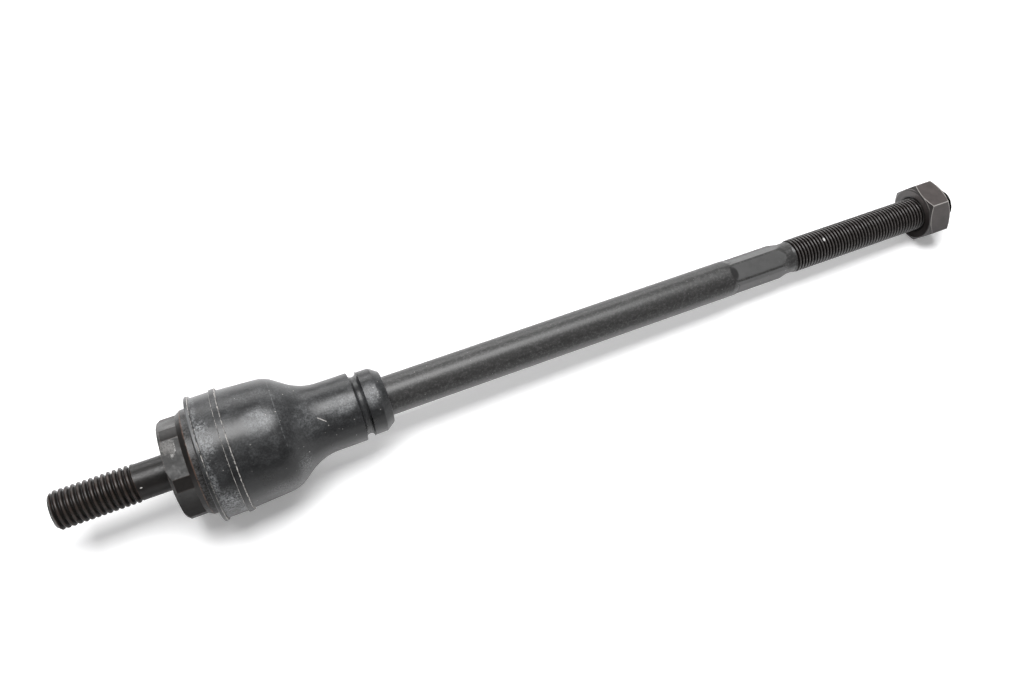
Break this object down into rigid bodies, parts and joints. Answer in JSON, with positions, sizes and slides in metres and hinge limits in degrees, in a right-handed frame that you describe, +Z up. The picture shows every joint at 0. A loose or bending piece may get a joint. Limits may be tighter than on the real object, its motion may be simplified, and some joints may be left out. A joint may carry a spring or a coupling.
{
  "type": "inner tie rod",
  "caption": "Straight steel rod with a ball joint and threaded stud at one end, a stepped rubber dust boot over the joint, and a threaded free end with a hex jam nut.",
  "frame": {"origin": "on the rod's axis, at the front face of the hexagon collar that seats against the steering rack", "axes": "+X along the rod from the rack stud to the outer thread, +Z up with a flat of the jam nut facing down, +Y to the rear of the pictured side"},
  "size_m": [0.3775, 0.0466, 0.0466],
  "materials": {
    "dark_steel": "dark phosphated steel with turned and milled faces, semi-matt",
    "bearing_plastic": "natural bearing plastic",
    "rod_steel": "dark grey phosphated steel with a fine grain, semi-matt",
    "boot_rubber": "black rubber, smooth, dusty scuffs",
    "nut_steel": "dark grey steel with brighter chamfered edges"
  },
  "bodies": {
    "housing": {"socket_housing": "dark_steel"},
    "seat": {"ball_seat": "bearing_plastic"},
    "boot": {"dust_boot": "boot_rubber"},
    "rod": {"tie_rod": "rod_steel"},
    "nut": {"jam_nut": "nut_steel"}
  },
  "joints": [
    {"name": "seat_turn", "type": "hinge", "parent": "housing", "child": "seat", "pos_m": [0.0234, 0, 0], "axis": [1, 0, 0], "continuous": true},
    {"name": "swing", "type": "hinge", "parent": "seat", "child": "boot", "pos_m": [0.0234, 0, 0], "axis": [0, 1, 0], "range_deg": [-20, 20], "deforming": ["dust_boot"]},
    {"name": "rod_spin", "type": "hinge", "parent": "boot", "child": "rod", "pos_m": [0.0234, 0, 0], "axis": [1, 0, 0], "continuous": true},
    {"name": "nut_turn", "type": "hinge", "parent": "rod", "child": "nut", "pos_m": [0.3264, 0, 0], "axis": [1, 0, 0], "continuous": true}
  ]
}
